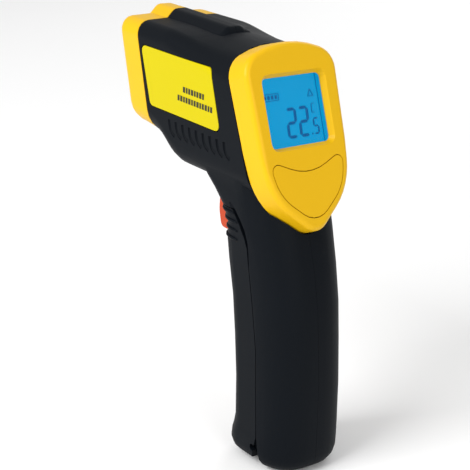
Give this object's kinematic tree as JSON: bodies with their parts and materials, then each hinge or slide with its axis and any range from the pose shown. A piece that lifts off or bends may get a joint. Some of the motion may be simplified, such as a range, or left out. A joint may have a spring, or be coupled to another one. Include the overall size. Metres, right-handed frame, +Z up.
{
  "type": "infrared thermometer",
  "caption": "Pistol-grip infrared thermometer: black shells, yellow nose and rear bezel with display and key, orange trigger, and a battery door that forms the handle's front.",
  "frame": {"origin": "under the middle of the whole object's box, level with the handle's base", "axes": "+Z up the handle, +Y the way the thermometer aims, +X to the right of whoever holds it"},
  "size_m": [0.0404, 0.1035, 0.15],
  "materials": {
    "black_abs": "moulded ABS, fine satin texture",
    "yellow_abs": "moulded ABS, satin",
    "orange_abs": "moulded ABS, satin",
    "label_film": "printed polycarbonate film",
    "white_abs": "moulded ABS",
    "clear_acrylic": "clear acrylic sheet",
    "display_glass": "liquid crystal cell, transmissive",
    "backlight": "light guide, blue",
    "lens_polymer": "cloudy infrared polymer",
    "circuit_board": "glass epoxy with green solder mask",
    "black_component": "moulded epoxy",
    "grey_button": "moulded nylon",
    "black_rubber": "moulded rubber",
    "battery_case": "printed metal jacket",
    "red_insulation": "silicone insulation",
    "black_insulation": "silicone insulation",
    "steel": "zinc-plated steel",
    "brass": "turned brass"
  },
  "bodies": {
    "housing": {"backlight": "backlight", "battery": "battery_case", "battery_door_pin": "steel", "battery_snap": "black_rubber", "board_screw_1": "steel", "board_screw_2": "steel", "board_screw_3": "steel", "buzzer": "black_component", "contact_strip": "black_rubber", "display_glass": "display_glass", "display_holder": "white_abs", "display_window": "clear_acrylic", "infrared_lens": "lens_polymer", "infrared_sensor": "steel", "key_switch": "black_component", "label_left": "label_film", "label_right": "label_film", "laser_barrel": "brass", "laser_board": "circuit_board", "laser_saddle": "black_abs", "laser_window": "clear_acrylic", "lead_black": "black_insulation", "lead_red": "red_insulation", "left_shell": "black_abs", "lens_ring": "black_abs", "lens_tube": "black_abs", "main_board": "circuit_board", "nose_bezel": "yellow_abs", "processor": "black_component", "rear_bezel": "yellow_abs", "right_shell": "black_abs", "sensor_board": "circuit_board", "sensor_screw_left": "steel", "sensor_screw_right": "steel", "shell_screw_1": "steel", "shell_screw_2": "steel", "shell_screw_3": "steel", "shell_screw_4": "steel", "shell_screw_5": "steel", "trigger_board": "circuit_board", "trigger_pin": "steel", "trigger_spring": "steel", "trigger_switch": "black_component"},
    "trigger": {"trigger": "orange_abs"},
    "trigger_switch_plunger": {"trigger_switch_plunger": "grey_button"},
    "key": {"key_cap": "yellow_abs"},
    "key_switch_plunger": {"key_switch_plunger": "grey_button"},
    "battery_door": {"battery_door": "black_abs"}
  },
  "joints": [
    {"name": "trigger_pull", "type": "hinge", "parent": "housing", "child": "trigger", "pos_m": [0, -0.01275, 0.0968], "axis": [-1, 0, 0], "range_deg": [0, 6], "stiffness_Nm_per_rad": 0.25, "springref_deg": -5.73, "deforming": ["trigger_spring"]},
    {"name": "trigger_switch_press", "type": "slide", "parent": "housing", "child": "trigger_switch_plunger", "axis": [0, -1, 0], "range_m": [0, 0.0009]},
    {"name": "key_press", "type": "slide", "parent": "housing", "child": "key", "axis": [0, 0.9385, -0.3453], "range_m": [0, 0.0005], "stiffness_N_per_m": 500, "springref_m": -0.001},
    {"name": "key_switch_press", "type": "slide", "parent": "housing", "child": "key_switch_plunger", "axis": [0, 0.9385, -0.3453], "range_m": [0, 0.0006]},
    {"name": "battery_door_open", "type": "hinge", "parent": "housing", "child": "battery_door", "pos_m": [0, -0.03655, 0.0074], "axis": [-1, 0, 0], "range_deg": [0, 50]}
  ],
  "couplings": [
    {"joint": "trigger_switch_press", "follows": "trigger_pull", "m_per_rad": 0.0077},
    {"joint": "key_switch_press", "follows": "key_press", "ratio": 1}
  ]
}
